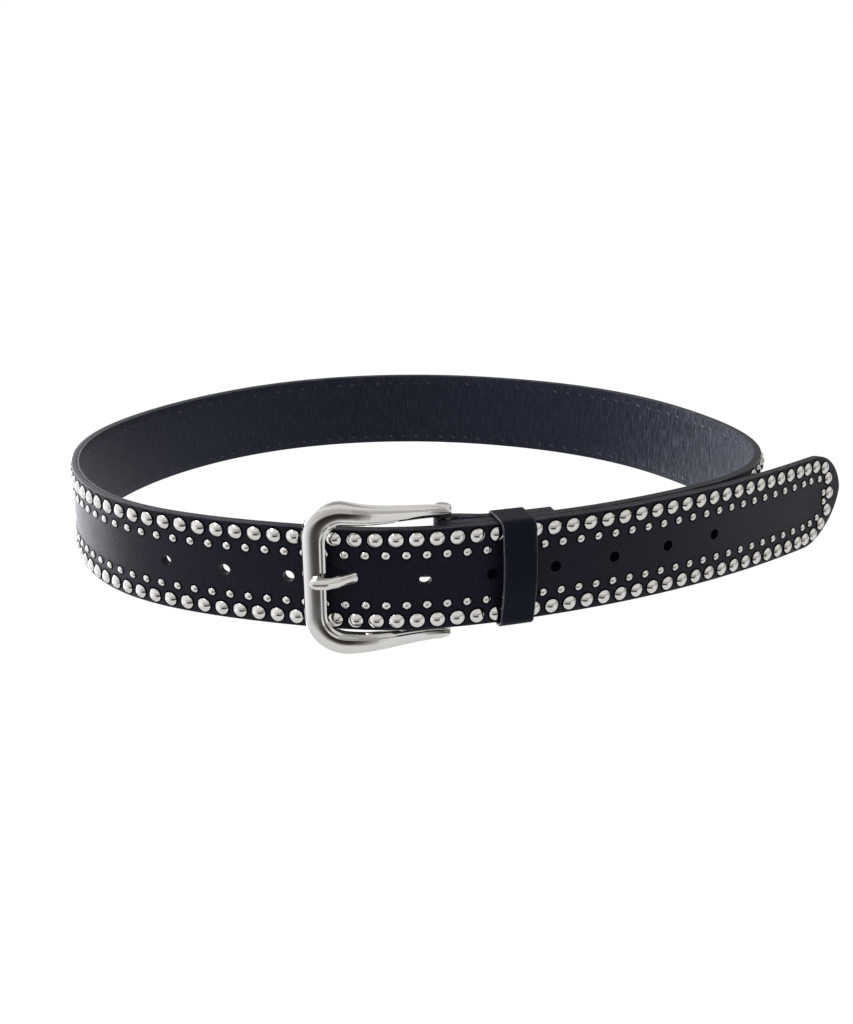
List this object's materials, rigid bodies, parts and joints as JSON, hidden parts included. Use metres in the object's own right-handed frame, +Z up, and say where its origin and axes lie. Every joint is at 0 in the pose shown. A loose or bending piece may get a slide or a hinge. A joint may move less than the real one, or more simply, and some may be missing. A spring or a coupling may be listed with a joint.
{
  "type": "studded leather belt",
  "caption": "Leather belt buckled into a loop and standing on its edge, with rows of domed studs along both edges, punched holes, a squared horseshoe buckle and a leather keeper.",
  "frame": {"origin": "on the surface that the belt stands on, under the middle of its outline", "axes": "+Z up, along the strap's width; the buckle faces -Y and the free end points towards +X"},
  "size_m": [0.3339, 0.2629, 0.0573],
  "materials": {
    "outer_leather": "satin, fine grain",
    "lining_leather": "matte",
    "nickel": "polished nickel"
  },
  "bodies": {
    "root": {"strap_leather": "outer_leather", "strap_lining": "lining_leather", "large_studs": "nickel", "buckle_frame": "nickel", "buckle_prong": "nickel", "keeper_loop": "outer_leather"}
  },
  "joints": []
}
